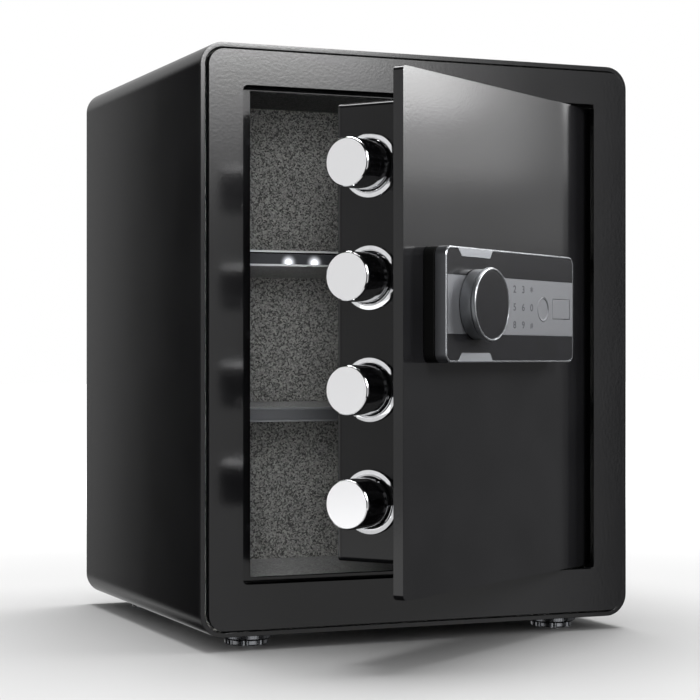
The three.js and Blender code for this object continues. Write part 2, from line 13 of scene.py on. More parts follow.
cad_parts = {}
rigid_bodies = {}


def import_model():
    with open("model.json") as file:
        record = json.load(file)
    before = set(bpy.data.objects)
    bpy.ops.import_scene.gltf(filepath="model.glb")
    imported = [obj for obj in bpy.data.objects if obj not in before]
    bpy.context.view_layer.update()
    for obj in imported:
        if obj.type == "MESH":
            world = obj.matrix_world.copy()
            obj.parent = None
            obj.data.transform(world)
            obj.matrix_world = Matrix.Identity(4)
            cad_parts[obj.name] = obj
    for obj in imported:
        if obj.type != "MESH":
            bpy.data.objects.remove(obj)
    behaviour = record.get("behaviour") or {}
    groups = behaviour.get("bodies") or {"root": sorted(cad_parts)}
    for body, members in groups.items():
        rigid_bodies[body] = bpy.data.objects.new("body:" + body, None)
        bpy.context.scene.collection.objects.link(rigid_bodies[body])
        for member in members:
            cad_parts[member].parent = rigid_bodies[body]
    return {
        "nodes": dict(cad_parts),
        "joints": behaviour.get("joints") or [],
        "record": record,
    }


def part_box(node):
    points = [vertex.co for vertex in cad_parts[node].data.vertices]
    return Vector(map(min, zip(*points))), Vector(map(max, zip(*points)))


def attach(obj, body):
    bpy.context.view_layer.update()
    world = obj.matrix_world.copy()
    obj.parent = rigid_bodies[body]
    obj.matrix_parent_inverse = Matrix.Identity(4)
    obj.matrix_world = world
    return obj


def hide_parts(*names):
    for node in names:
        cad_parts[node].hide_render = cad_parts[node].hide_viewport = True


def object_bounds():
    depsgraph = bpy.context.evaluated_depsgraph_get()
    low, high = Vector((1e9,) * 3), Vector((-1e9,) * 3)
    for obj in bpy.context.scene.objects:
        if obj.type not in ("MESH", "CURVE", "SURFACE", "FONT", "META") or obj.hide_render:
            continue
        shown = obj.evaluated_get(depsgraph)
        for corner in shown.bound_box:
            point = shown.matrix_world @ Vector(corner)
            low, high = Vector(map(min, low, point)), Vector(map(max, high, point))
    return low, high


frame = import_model()
CAD_LOW, CAD_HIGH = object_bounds()

MM = 0.001
HINGE_JOINT = next(j for j in frame["joints"] if j["name"] == "door_swing")
HINGE = Vector(HINGE_JOINT["pos_m"])
DOOR_OPEN = math.radians(-HINGE_JOINT["range_deg"][0])
STAND_OPEN = (
    Matrix.Translation(HINGE)
    @ Matrix.Rotation(DOOR_OPEN, 4, "Z")
    @ Matrix.Translation(-HINGE)
)
SHUT = STAND_OPEN.inverted()


def shut_box(name):
    """A door node's lowest and highest corners as if the door were shut."""
    points = [SHUT @ v.co for v in frame["nodes"][name].data.vertices]
    low = Vector([min(p[i] for p in points) for i in range(3)])
    high = Vector([max(p[i] for p in points) for i in range(3)])
    return low, high


def middle(low, high):
    return (Vector(low) + Vector(high)) / 2


# ---------------------------------------------------------------- camera

CAMERA_PLACE = (-0.6437, -1.467, 0.216)
CAMERA_TURN = math.radians(-22.81)
LENS = 102.0
RISE = 0.0127  # the horizon lies a little below the middle of the frame


def set_camera():
    camera = bpy.data.cameras.new("camera")
    camera.lens = LENS
    camera.shift_y = RISE
    rig = bpy.data.objects.new("camera", camera)
    bpy.context.scene.collection.objects.link(rig)
    rig.location = CAMERA_PLACE
    rig.rotation_euler = (math.pi / 2, 0, CAMERA_TURN)
    bpy.context.scene.camera = rig


# ---------------------------------------------------------------- colour and nodes


def colour(code):
    """An sRGB hex value as linear red, green, blue and alpha."""
    channels = [int(code[i : i + 2], 16) / 255 for i in (1, 3, 5)]
    linear = [c / 12.92 if c <= 0.04045 else ((c + 0.055) / 1.055) ** 2.4 for c in channels]
    return (*linear, 1)


def add(tree, kind, inputs=None, **settings):
    """Adds a node with its settings; inputs maps a socket's name or number to a value or a link."""
    made = tree.nodes.new("ShaderNode" + kind)
    for key, value in settings.items():
        setattr(made, key, value)
    for key, value in (inputs or {}).items():
        if isinstance(value, bpy.types.NodeSocket):
            tree.links.new(value, made.inputs[key])
        else:
            made.inputs[key].default_value = value
    return made


def ramp(tree, factor, stops):
    """A colour ramp from (place, sRGB hex) stops."""
    made = add(tree, "ValToRGB", {"Fac": factor})
    elements = made.color_ramp.elements
    while len(elements) < len(stops):
        elements.new(0.5)
    for element, (place, code) in zip(elements, stops):
        element.position = place
        element.color = colour(code)
    return made.outputs["Color"]


def start_material(name):
    """A new material's tree, its shader and its object coordinates."""
    made = bpy.data.materials.new(name)
    made.use_nodes = True
    tree = made.node_tree
    shader = tree.nodes["Principled BSDF"]
    place = add(tree, "TexCoord").outputs["Object"]
    return made, tree, shader, place


def feed(tree, shader, **sockets):
    """Sets or links the shader's own sockets; an underscore in a key stands for a space."""
    for key, value in sockets.items():
        socket = shader.inputs[key.replace("_", " ")]
        if isinstance(value, bpy.types.NodeSocket):
            tree.links.new(value, socket)
        else:
            socket.default_value = value


def span(tree, value, low, high):
    """A 0 to 1 value spread from low to high."""
    return add(tree, "MapRange", {"Value": value, "To Min": low, "To Max": high}).outputs["Result"]


def noise(tree, place, size, detail, roughness=0.5):
    """Noise whose blotches are about this many metres across."""
    made = add(
        tree,
        "TexNoise",
        {"Vector": place, "Scale": 1 / size, "Detail": detail, "Roughness": roughness},
    )
    return made.outputs["Fac"]


def bump(tree, height, depth, strength):
    """A normal from a 0 to 1 height that stands for this many metres."""
    made = add(tree, "Bump", {"Height": height, "Distance": depth, "Strength": strength})
    return made.outputs["Normal"]


# ---------------------------------------------------------------- materials


def powder_coat():
    """Black powder coat, baked on sheet steel: a satin black skin with a fine orange peel
    that breaks up the soft highlights, and a little unevenness in its gloss."""
    made, tree, shader, place = start_material("black_powder_coat")
    peel = noise(tree, place, 1.8 * MM, 3)
    cloud = noise(tree, place, 60 * MM, 2)
    feed(
        tree,
        shader,
        Base_Color=ramp(tree, cloud, [(0.3, "#0c0c0d"), (0.7, "#101011")]),
        Roughness=span(tree, cloud, 0.1, 0.13),
        Normal=bump(tree, peel, 0.06 * MM, 0.5),
        Specular_IOR_Level=0.42,
    )
    return made


def inner_coat(name, gloss):
    """The same coat on the return walls, the ledges and the box of the door, thinner and
    smoother: its reflections are dimmer and a little sharper."""
    made, tree, shader, place = start_material(name)
    peel = noise(tree, place, 1.4 * MM, 2)
    feed(
        tree,
        shader,
        Base_Color=ramp(tree, peel, [(0.3, "#0a0a0b"), (0.7, "#0d0d0e")]),
        Roughness=span(tree, peel, 0.06, 0.09),
        Normal=bump(tree, peel, 0.04 * MM, 0.3),
        Specular_IOR_Level=gloss,
    )
    return made


TUFT = 1.2 * MM
FIBRE = 0.8 * MM
TUFT_DRIFT = (0.8 * MM,) * 3
FIBRE_SHARE = 0.55  # how much the fibres add to a tuft's own tone


def felt():
    """Needle-punched felt of mixed grey and black fibres: a salt-and-pepper speckle
    a little over a millimetre across, matt, with a short fuzzy pile. Real fibres are about
    twenty times finer, so the tufts are drawn instead."""
    made, tree, shader, place = start_material("needle_felt")
    blur = noise(tree, place, 0.9 * MM, 2, 0.6)
    drift = add(tree, "VectorMath", {0: TUFT_DRIFT, "Scale": blur}, operation="SCALE").outputs[0]
    moved = add(tree, "VectorMath", {0: place, 1: drift}, operation="ADD").outputs[0]
    tufts = add(tree, "TexVoronoi", {"Vector": moved, "Scale": 1 / TUFT})
    tuft = add(tree, "SeparateColor", {0: tufts.outputs["Color"]}).outputs["Red"]
    flock = noise(tree, place, FIBRE, 3, 0.7)
    mix = {0: flock, 1: FIBRE_SHARE, 2: tuft}
    tone = add(tree, "Math", mix, operation="MULTIPLY_ADD").outputs[0]
    spread = add(tree, "MapRange", {"Value": tone, "From Min": 0.2, "From Max": 1.35})
    stops = [(0.0, "#141414"), (0.24, "#2a2a2a"), (0.42, "#4b4b4a"), (1.0, "#727270")]
    feed(
        tree,
        shader,
        Base_Color=ramp(tree, spread.outputs["Result"], stops),
        Roughness=1.0,
        Specular_IOR_Level=0.15,
        Sheen_Weight=0.2,
        Sheen_Roughness=0.6,
        Normal=bump(tree, flock, 0.4 * MM, 0.7),
    )
    return made


def chrome():
    """Bright chrome plate over turned steel: a clean mirror, with faint polishing haze."""
    made, tree, shader, place = start_material("bright_chrome_plate")
    haze = noise(tree, place, 7 * MM, 3)
    feed(
        tree,
        shader,
        Base_Color=ramp(tree, haze, [(0.2, "#dcdddf"), (0.8, "#ececee")]),
        Metallic=1.0,
        Roughness=span(tree, haze, 0.035, 0.06),
    )
    return made


def brushed_chrome():
    """Chrome over a ground end face: the same plate, but a fine scratch pattern spreads
    its reflection into an even bright tone."""
    made, tree, shader, place = start_material("chrome_on_ground_face")
    grind = noise(tree, place, 0.5 * MM, 3)
    feed(
        tree,
        shader,
        Base_Color=ramp(tree, grind, [(0.2, "#ececee"), (0.8, "#f4f4f5")]),
        Metallic=1.0,
        Roughness=span(tree, grind, 0.2, 0.24),
        Normal=bump(tree, grind, 0.003 * MM, 0.1),
    )
    return made


ALONG_X, ALONG_X_SHORT = (0.02, 1, 1), (0.2, 1, 1)
ALONG_Z, ALONG_Z_SHORT = (1, 1, 0.1), (1, 1, 0.2)


def brushed(name, dark, light, rough, size, along):
    """Metal brushed or turned in one direction: scratches drawn out along it, which streak its
    tone and its highlights. Real ones are far finer than this many millimetres, but would not
    show."""
    made, tree, shader, place = start_material(name)
    drawn = add(tree, "Mapping", {"Vector": place, "Scale": along}).outputs["Vector"]
    line = noise(tree, drawn, size * MM, 2)
    feed(
        tree,
        shader,
        Base_Color=ramp(tree, line, [(0.3, dark), (0.7, light)]),
        Metallic=1.0,
        Roughness=span(tree, line, rough - 0.05, rough + 0.05),
        Normal=bump(tree, line, 0.01 * MM, 0.3),
    )
    return made


def blasted(name, dark, light, rough, metallic=0.9):
    """Anodised aluminium, bead-blasted first: an even satin grey with a very fine grain."""
    made, tree, shader, place = start_material(name)
    grain = noise(tree, place, 0.35 * MM, 2)
    feed(
        tree,
        shader,
        Base_Color=ramp(tree, grain, [(0.3, dark), (0.7, light)]),
        Metallic=metallic,
        Roughness=span(tree, grain, rough - 0.03, rough + 0.03),
        Normal=bump(tree, grain, 0.01 * MM, 0.25),
    )
    return made


def acrylic():
    """Black cast acrylic, back-coated: smooth and deep, with a faint dust haze."""
    made, tree, shader, place = start_material("black_acrylic")
    haze = noise(tree, place, 12 * MM, 3)
    feed(
        tree,
        shader,
        Base_Color=ramp(tree, haze, [(0.3, "#101011"), (0.7, "#131315")]),
        Roughness=span(tree, haze, 0.2, 0.24),
        IOR=1.49,
        Specular_IOR_Level=0.2,
    )
    return made


def moulding(name, dark, light, rough):
    """Moulded ABS with a spark-eroded texture: matt, finely pebbled, with no bright glint."""
    made, tree, shader, place = start_material(name)
    pebble = noise(tree, place, 0.5 * MM, 2)
    feed(
        tree,
        shader,
        Base_Color=ramp(tree, pebble, [(0.3, dark), (0.7, light)]),
        Roughness=span(tree, pebble, rough - 0.05, rough + 0.05),
        Normal=bump(tree, pebble, 0.03 * MM, 0.5),
        Specular_IOR_Level=0.08,
    )
    return made


DIODE_PITCH = 22.2 * MM
DIODE_COUNT = 8
HALO_CORE, HALO_REACH = 1.2 * MM, 8.5 * MM
HALO_FALL = 3.2
HALO_BRIGHT = 2.4


def light_window(height):
    """A smoked, frosted window over a row of lit diodes: a soft white glow round each,
    fading to dark grey between them."""
    made, tree, shader, place = start_material("frosted_light_window")
    frost = noise(tree, place, 1.2 * MM, 2)
    apart = add(tree, "SeparateXYZ", {0: place}).outputs
    half = DIODE_PITCH / 2
    shifted = add(tree, "Math", {0: apart["X"], 1: half}, operation="ADD").outputs[0]
    across = add(tree, "Math", {0: shifted, 1: half}, operation="PINGPONG").outputs[0]
    up = add(tree, "Math", {0: apart["Z"], 1: height}, operation="SUBTRACT").outputs[0]
    flat = add(tree, "CombineXYZ", {"X": across, "Y": up}).outputs[0]
    reach = add(tree, "VectorMath", {0: flat}, operation="LENGTH").outputs["Value"]
    fade = {"Value": reach, "From Min": HALO_CORE, "From Max": HALO_REACH, "To Min": 1, "To Max": 0}
    halo = add(tree, "MapRange", fade).outputs["Result"]
    power = add(tree, "Math", {0: halo, 1: HALO_FALL}, operation="POWER").outputs[0]
    middle_out = add(tree, "Math", {0: apart["X"]}, operation="ABSOLUTE").outputs[0]
    ends = DIODE_COUNT / 2 * DIODE_PITCH
    lit = add(tree, "Math", {0: middle_out, 1: ends}, operation="LESS_THAN").outputs[0]
    power = add(tree, "Math", {0: power, 1: lit}, operation="MULTIPLY").outputs[0]
    bright = add(tree, "Math", {0: power, 1: HALO_BRIGHT}, operation="MULTIPLY").outputs[0]
    feed(
        tree,
        shader,
        Base_Color=ramp(tree, frost, [(0.2, "#1d1e20"), (0.8, "#26272a")]),
        Roughness=0.3,
        Emission_Color=colour("#f6f8ff"),
        Emission_Strength=bright,
    )
    return made


DIODE_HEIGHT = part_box("led_bar")[0].z + 0.6 * MM

MATERIALS = {
    "paint": powder_coat(),
    "returns": inner_coat("black_coat_returns", 0.4),
    "inner_paint": inner_coat("black_coat_inside", 0.26),
    "felt": felt(),
    "chrome": chrome(),
    "bolt_face": brushed_chrome(),
    # stainless strip, brushed lengthways: long soft streaks in a mid grey
    "trim": brushed("polished_steel_trim", "#5c5e61", "#74767a", 0.16, 0.25, ALONG_X),
    # chrome dulled by handling: bright, but too hazy to mirror the floor
    "foot": brushed("worn_chrome_foot", "#8a8c90", "#a0a2a6", 0.26, 1.5, ALONG_Z_SHORT),
    # electroplated zinc: pale and cloudy, with broad faint streaks
    "zinc": brushed("zinc_plated_steel", "#8f9398", "#a6aab0", 0.32, 2.0, ALONG_X_SHORT),
    # brass turned on a lathe: warm yellow, with tool lines
    "brass": brushed("turned_brass", "#9b7a3c", "#b8964f", 0.25, 0.4, ALONG_Z),
    # the lock's frame: an even mid grey
    "bezel": blasted("grey_anodised_bezel", "#58595c", "#626366", 0.36),
    # the same metal in a paler, glossier tone: a painted highlight along the lit edges round the
    # lock and the knob
    "edge": blasted("bright_cut_edge", "#8c8e91", "#9a9c9f", 0.24),
    # the rolled lips of the shelf trims, one finish in two tones: painted lighter on the upper
    # trim, a painted highlight for the diodes' light, and darker on the lower one, painted shade
    "lip": blasted("silver_rolled_lip", "#9a9b9d", "#a8a9ab", 0.42, 0.5),
    "low_lip_painted_shade": blasted("grey_rolled_lip", "#4c4d4f", "#58595b", 0.42, 0.5),
    # the knob's barrel: a soft grey that rounds smoothly into shade
    "knob": blasted("satin_turned_knob", "#77797c", "#828487", 0.34),
    # the lock's two tabs: a little lighter than its frame
    "tab": blasted("light_anodised_tab", "#797b7e", "#84868a", 0.4),
    # the keypad's band: flat silver-grey that keeps its printed marks easy to read
    "band": blasted("silver_anodised_band", "#57585b", "#616265", 0.46, 0.7),
    "glass": acrylic(),
    "plastic": moulding("black_abs", "#050505", "#080808", 0.55),
    # screen-printed ink: flat dark grey
    "print": moulding("grey_screen_print", "#2c2d30", "#35363a", 0.6),
    # solder mask: deep green, smoother than plastic
    "board": moulding("green_solder_mask", "#0f3f27", "#16502f", 0.35),
    "window": light_window(DIODE_HEIGHT),
}


# ---------------------------------------------------------------- modelling by hand


def begin():
    """Deselects everything, so that an operator acts only on what is made or picked next."""
    bpy.ops.object.select_all(action="DESELECT")


def only(piece):
    """Selects this piece alone and makes it the active one."""
    begin()
    piece.select_set(True)
    bpy.context.view_layer.objects.active = piece


def settle():
    """The active piece keeps its place in its mesh, with its object at the origin."""
    bpy.ops.object.transform_apply(location=True, rotation=True, scale=True)
    return bpy.context.object


def block(name, low, high):
    """A cube primitive sized and placed between two corners."""
    begin()
    low, high = Vector(low), Vector(high)
    bpy.ops.mesh.primitive_cube_add(size=1, location=middle(low, high))
    piece = bpy.context.object
    piece.name = name
    piece.scale = high - low
    return settle()


def pick(piece, kind, test):
    """Opens the piece in edit mode with only the faces or edges that pass the test selected."""
    only(piece)
    bpy.ops.object.mode_set(mode="EDIT")
    bpy.ops.mesh.select_mode(type=kind)
    bpy.ops.mesh.select_all(action="DESELECT")
    bpy.ops.object.mode_set(mode="OBJECT")
    mesh = piece.data
    if kind == "FACE":
        for face in mesh.polygons:
            face.select = test(face.center, face.normal)
    else:
        for edge in mesh.edges:
            a, b = (mesh.vertices[k].co for k in edge.vertices)
            edge.select = test(a, b)
    bpy.ops.object.mode_set(mode="EDIT")


def close():
    """Leaves edit mode."""
    bpy.ops.object.mode_set(mode="OBJECT")


def front_to_back(a, b):
    """Whether an edge between these two points runs from front to back."""
    step = b - a
    return abs(step.y) > 0.999 * step.length


def facing(axis, sign):
    """A test for faces that look along this axis: 0, 1 or 2, one way (1) or the other (-1)."""
    return lambda centre, normal: sign * normal[axis] > 0.99


def rounded_block(name, low, high, radius, segments):
    """A block whose four edges from front to back are rounded."""
    piece = block(name, low, high)
    pick(piece, "EDGE", front_to_back)
    bpy.ops.mesh.bevel(offset=radius, segments=segments, affect="EDGES")
    close()
    return piece


def modify(piece, kind, **settings):
    """Adds a modifier with its settings and applies it."""
    only(piece)
    made = piece.modifiers.new(kind.lower(), kind)
    for key, value in settings.items():
        setattr(made, key, value)
    bpy.ops.object.modifier_apply(modifier=made.name)


def carve(piece, cutter):
    """Cuts one piece with another and throws the cutter away."""
    modify(piece, "BOOLEAN", object=cutter, operation="DIFFERENCE", solver="EXACT")
    bpy.data.objects.remove(cutter)


def soften(piece, width, segments, angle=30):
    """Rounds the edges sharper than an angle in degrees by a small width, and shades the piece."""
    modify(
        piece,
        "BEVEL",
        width=width,
        segments=segments,
        limit_method="ANGLE",
        angle_limit=math.radians(angle),
        use_clamp_overlap=True,
    )
    shade(piece)


def shade(piece, angle=40):
    """Shades a piece smooth, apart from edges sharper than an angle in degrees."""
    only(piece)
    bpy.ops.object.shade_smooth_by_angle(angle=math.radians(angle))
    modify(piece, "WEIGHTED_NORMAL", keep_sharp=True, weight=80)


# the turn that points a round piece's length this way
TOWARDS = {
    "-x": (0, -math.pi / 2, 0),
    "-y": (math.pi / 2, 0, 0),
    "+y": (-math.pi / 2, 0, 0),
    "+z": (0, 0, 0),
}


def turned(name, profile, place, towards, sides, hollow=False):
    """A round piece: a circle at the first (radius, height), carried on and sized to each next.
    A hollow one comes back to its first circle, so it is a ring with a bore."""
    begin()
    radius, height = profile[0]
    fill = "NOTHING" if hollow else "NGON"
    bpy.ops.mesh.primitive_circle_add(vertices=sides, radius=radius, fill_type=fill)
    piece = bpy.context.object
    piece.name = name
    piece.location.z = height
    settle()
    bpy.ops.object.mode_set(mode="EDIT")
    bpy.ops.mesh.select_mode(type="EDGE" if hollow else "FACE")
    bpy.ops.mesh.select_all(action="SELECT")
    ending = profile[:1] if hollow else []
    for next_radius, next_height in profile[1:] + ending:
        rise = next_height - height
        bpy.ops.mesh.extrude_region_move(TRANSFORM_OT_translate={"value": (0, 0, rise)})
        grow = next_radius / radius
        bpy.ops.transform.resize(value=(grow, grow, 1), center_override=(0, 0, next_height))
        radius, height = next_radius, next_height
    bpy.ops.mesh.select_all(action="SELECT")
    bpy.ops.mesh.remove_doubles(threshold=0.001 * MM)
    bpy.ops.mesh.normals_make_consistent(inside=False)
    close()
    piece.rotation_euler = TOWARDS[towards]
    piece.location = place
    return settle()


def finish_piece(piece, material, body, nodes=(), opened=False):
    """Gives a piece its material, stands it open if it is on the door, and lets it ride.
    A piece of two materials has them already, and is given None."""
    if material:
        piece.data.materials.clear()
        piece.data.materials.append(MATERIALS[material])
    only(piece)
    if opened:
        piece.matrix_world = STAND_OPEN @ piece.matrix_world
    settle()
    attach(piece, body)
    if nodes:
        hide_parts(*nodes)


def two_tone(piece, base, accent, test):
    """Gives a piece one material, and the faces that pass the test another."""
    for material in (base, accent):
        piece.data.materials.append(MATERIALS[material])
    for face in piece.data.polygons:
        if test(face.center, face.normal):
            face.material_index = 1


def on_cabinet(piece, material, nodes=()):
    finish_piece(piece, material, "cabinet", nodes)


def on_door(piece, material, nodes=(), body="door"):
    finish_piece(piece, material, body, nodes, opened=True)


# ---------------------------------------------------------------- cabinet

WALL = 3.5 * MM
CORNER = 17.5 * MM
FRONT_LIP = 2 * MM


def shell():
    """The rolled body, and the narrow lip that turns to the front round the panel. The lip is
    its own piece because the front lights reach it and not the body."""
    low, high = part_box("shell")
    seam = low.y + FRONT_LIP
    for name, near, far, nodes in (
        ("safe_shell", seam, high.y, ["shell"]),
        ("shell_lip", low.y, seam, []),
    ):
        ends = (low.x, near, low.z), (high.x, far, high.z)
        piece = rounded_block(name, *ends, CORNER, 14)
        pick(piece, "FACE", lambda centre, normal: abs(normal.y) > 0.99)
        bpy.ops.mesh.delete(type="FACE")
        close()
        modify(piece, "SOLIDIFY", thickness=WALL, offset=-1, use_even_offset=True)
        soften(piece, 0.3 * MM, 3)
        on_cabinet(piece, "paint", nodes)


def back_plate():
    """The plate welded into the back of the body, its edges ground round."""
    low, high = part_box("back_plate")
    piece = rounded_block("welded_back", low, high, CORNER - WALL, 10)
    soften(piece, 0.7 * MM, 3)
    on_cabinet(piece, "paint", ["back_plate"])


PANEL = 3 * MM
ROLL = 4 * MM  # how deep the panel's edge is rolled over behind its face
GROOVE = 1.8 * MM
PANEL_CORNER = CORNER - WALL - GROOVE
DOOR_GAP = Vector((1.5, 0, 1.6)) * MM  # round the shut door: at its sides, and at its ends
DOOR_CORNER = 4 * MM


def doorway(back):
    """The space of the door opening as far as this depth, to cut it out of another piece."""
    low, high = shut_box("door_plate")
    low -= DOOR_GAP
    high += DOOR_GAP
    low.y = CAD_LOW.y
    high.y = back
    return rounded_block("doorway", low, high, DOOR_CORNER, 6)


SWING = 36.7 * MM  # the arc that the hinge-side edge of the door sweeps
SWING_FOOT = 50 * MM


def front_panel():
    """The proud front panel, with its edges rolled over and the door opening cut through it."""
    low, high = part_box("front_frame")
    inset = GROOVE - 0.3 * MM
    low = Vector((low.x + inset, low.y, low.z + inset))
    high = Vector((high.x - inset, low.y + PANEL + ROLL, high.z - inset))
    piece = rounded_block("front_panel", low, high, PANEL_CORNER, 12)
    carve(piece, doorway(HINGE.y))
    # the lip is relieved on an arc, so that the edge of the door can swing past it
    rise = shut_box("door_plate")[1].z + DOOR_GAP.z - SWING_FOOT
    foot = (HINGE.x, HINGE.y, SWING_FOOT)
    carve(piece, turned("relief", [(SWING, 0), (SWING, rise)], foot, "+z", 180))
    soften(piece, 1.3 * MM, 4)
    on_cabinet(piece, "paint", ["front_frame"])


# how thick the ledge is, and how far it stands in at the bolts' side, the bottom and the top
LEDGE = 3 * MM
LEDGE_SIDE, LEDGE_FOOT, LEDGE_HEAD = 10.8 * MM, 4.1 * MM, 2.8 * MM
JAMB = 12.5 * MM  # from the hinge's axis to the end of the return walls


def door_rebate():
    """The return walls inside the opening and the ledge that the shut door rests against."""
    frame_low, frame_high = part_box("front_frame")
    plate_low, plate_high = shut_box("door_plate")
    back = frame_high.y
    outer = DOOR_GAP + Vector((1, 0, 1)) * PANEL
    low = Vector((plate_low.x - outer.x, frame_low.y + PANEL, plate_low.z - outer.z))
    high = Vector((HINGE.x - JAMB, back, plate_high.z + outer.z))
    piece = block("door_rebate", low, high)
    carve(piece, doorway(back - LEDGE))
    ledge_low = Vector((low.x + PANEL + LEDGE_SIDE, low.y - PANEL, low.z + PANEL + LEDGE_FOOT))
    ledge_high = Vector((high.x + PANEL, back + PANEL, high.z - PANEL - LEDGE_HEAD))
    carve(piece, block("ledge_mouth", ledge_low, ledge_high))
    soften(piece, 0.5 * MM, 2)
    on_cabinet(piece, "returns")


FELT_CORNER = 11 * MM
BOARD_FOOT = 8 * MM  # how much of the board's node lies lower, between the corners


def felt_panels():
    """The back lining and the floor board. The board starts above the shell's rounded corners,
    so it is square where it meets the side linings."""
    back = rounded_block("back_felt", *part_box("felt_back"), FELT_CORNER, 6)
    low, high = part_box("floor_board")
    board = block("floor_felt", (low.x, low.y, low.z + BOARD_FOOT), high)
    for piece, node in ((back, "felt_back"), (board, "floor_board")):
        soften(piece, 0.8 * MM, 3)
        on_cabinet(piece, "felt", [node])


def shelf_boards():
    """Boards wrapped in felt, which rounds their edges."""
    for level in ("upper", "lower"):
        piece = block(f"{level}_shelf_felt", *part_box(f"{level}_shelf"))
        soften(piece, 1.0 * MM, 3)
        on_cabinet(piece, "felt", [f"{level}_shelf"])


# the lower trim is drawn in a duller grey and its lips darker than the upper trim's: painted shade
# below the diodes, on what is one finish
TRIMS = {  # a trim's own finish, its lips' finish, and how deep its hollow is
    "upper": ("trim", "lip", 2.4 * MM),
    "lower": ("bezel", "low_lip_painted_shade", 0.5 * MM),
}
TRIM_LIP = 1.6 * MM


def shelf_trims():
    """Polished channels on the shelf fronts: a lip along the top and the bottom, and a
    hollow between them. The upper one holds the light window, and its lips are painted
    lighter than the lower one's: a painted highlight for the diodes' light."""
    for level, (base, lips, deep) in TRIMS.items():
        low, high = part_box(f"{level}_shelf_trim")
        piece = block(f"{level}_shelf_channel", low, high)
        pick(piece, "FACE", facing(1, -1))
        bpy.ops.mesh.inset(thickness=TRIM_LIP)
        bpy.ops.mesh.inset(thickness=0.2 * MM, depth=-deep)
        close()
        soften(piece, 0.3 * MM, 3)
        front = low.y + 0.35 * MM
        # the front lips take the lip finish: painted highlight on the upper trim, painted shade on
        # the lower
        two_tone(piece, base, lips, lambda centre, normal: centre.y < front)
        on_cabinet(piece, None, [f"{level}_shelf_trim"])


def light_bar():
    """The window of the light bar, lying in the channel, with a domed lens over each diode."""
    low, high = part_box("led_bar")
    trim_low, trim_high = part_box("upper_shelf_trim")
    window_low = Vector((low.x, low.y + 1.0 * MM, trim_low.z + TRIM_LIP))
    window_high = Vector((high.x, low.y + 2.2 * MM, trim_high.z - TRIM_LIP - MM))
    window = block("light_window", window_low, window_high)
    soften(window, 0.3 * MM, 2)
    on_cabinet(window, "window", ["led_bar"])
    dome = [(2.3 * MM, 0), (2.2 * MM, 0.4 * MM), (1.5 * MM, 0.8 * MM), (0.5 * MM, 0.95 * MM)]
    for i in range(DIODE_COUNT):
        x = (i - (DIODE_COUNT - 1) / 2) * DIODE_PITCH
        place = (x, window_low.y + 0.15 * MM, low.z + 1.2 * MM)
        lens = turned(f"diode_lens_{i + 1}", dome, place, "-y", 24)
        shade(lens)
        on_cabinet(lens, "window")


KNURL = 120  # flats round a foot; every other one stands proud


def feet():
    """Chrome levelling feet: a disc with a fine knurl round it, over a lobed pad."""
    for corner in ("front_left", "front_right", "back_left", "back_right"):
        low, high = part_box(f"foot_{corner}")
        centre = middle(low, high)
        radius = (high.x - low.x) / 2
        height = high.z
        disc = [
            (radius - 1.6 * MM, 4.0 * MM),
            (radius - 0.7 * MM, 4.6 * MM),
            (radius - 0.3 * MM, 5.0 * MM),
            (radius - 0.3 * MM, height - 0.7 * MM),
            (radius - 1.0 * MM, height),
        ]
        piece = turned(f"foot_disc_{corner}", disc, (centre.x, centre.y, 0), "+z", KNURL)

        def every_other(face_centre, normal):
            side = abs(normal.z) < 0.05
            angle = math.atan2(face_centre.y - centre.y, face_centre.x - centre.x)
            step = int(round(angle / (2 * math.pi / KNURL) - 0.5))
            return side and step % 2 == 0

        pick(piece, "FACE", every_other)
        bpy.ops.mesh.extrude_region_shrink_fatten(TRANSFORM_OT_shrink_fatten={"value": 0.3 * MM})
        close()
        shade(piece, 25)
        on_cabinet(piece, "foot")
        pad = lobed_pad(f"foot_pad_{corner}", centre, radius)
        on_cabinet(pad, "foot", [f"foot_{corner}"])


LOBES = 8


def lobed_pad(name, centre, radius):
    """A pad with lobes: a turned disc with a round bite out of its edge between each two."""
    outer = radius - 2.4 * MM
    profile = [
        (outer - 0.8 * MM, 0),
        (outer, 0.8 * MM),
        (outer, 3.4 * MM),
        (outer - 0.6 * MM, 4.1 * MM),
    ]
    pad = turned(name, profile, (centre.x, centre.y, 0), "+z", 96)
    for k in range(LOBES):
        angle = 2 * math.pi * (k + 0.5) / LOBES
        reach = outer + 1.2 * MM
        place = (centre.x + reach * math.cos(angle), centre.y + reach * math.sin(angle), -MM)
        bite = turned("bite", [(3.2 * MM, 0), (3.2 * MM, 4.6 * MM)], place, "+z", 24)
        carve(pad, bite)
    shade(pad)
    return pad


# ---------------------------------------------------------------- door

BOX_WALL = 2.5 * MM
BOLTS = range(1, 5)
BOLT_BORE = 18.1 * MM
PIN_BORE = 7.6 * MM
SPINDLE_BORE = 6.5 * MM
SPINDLE_REACH = 60 * MM


def shut_middle(node):
    return middle(*shut_box(node))


def spindle_bore():
    """A round cutter on the knob's axis, for the spindle's hole."""
    centre = shut_middle("knob")
    profile = [(SPINDLE_BORE, 0), (SPINDLE_BORE, 2 * SPINDLE_REACH)]
    place = (centre.x, centre.y + SPINDLE_REACH, centre.z)
    return turned("spindle_bore", profile, place, "-y", 32)


def door_plate():
    """The flat face of the door, its edges just broken."""
    piece = rounded_block("door_plate_panel", *shut_box("door_plate"), DOOR_CORNER, 6)
    carve(piece, spindle_bore())
    soften(piece, 0.2 * MM, 2)
    on_door(piece, "paint", ["door_plate"])


def bolt_hole(centre, low_x, length):
    """A round cutter on a bolt's axis, this long from this x."""
    place = (low_x + length / 2, centre.y, centre.z)
    profile = [(BOLT_BORE, -length / 2), (BOLT_BORE, length / 2)]
    return turned("bolt_hole", profile, place, "-x", 64)


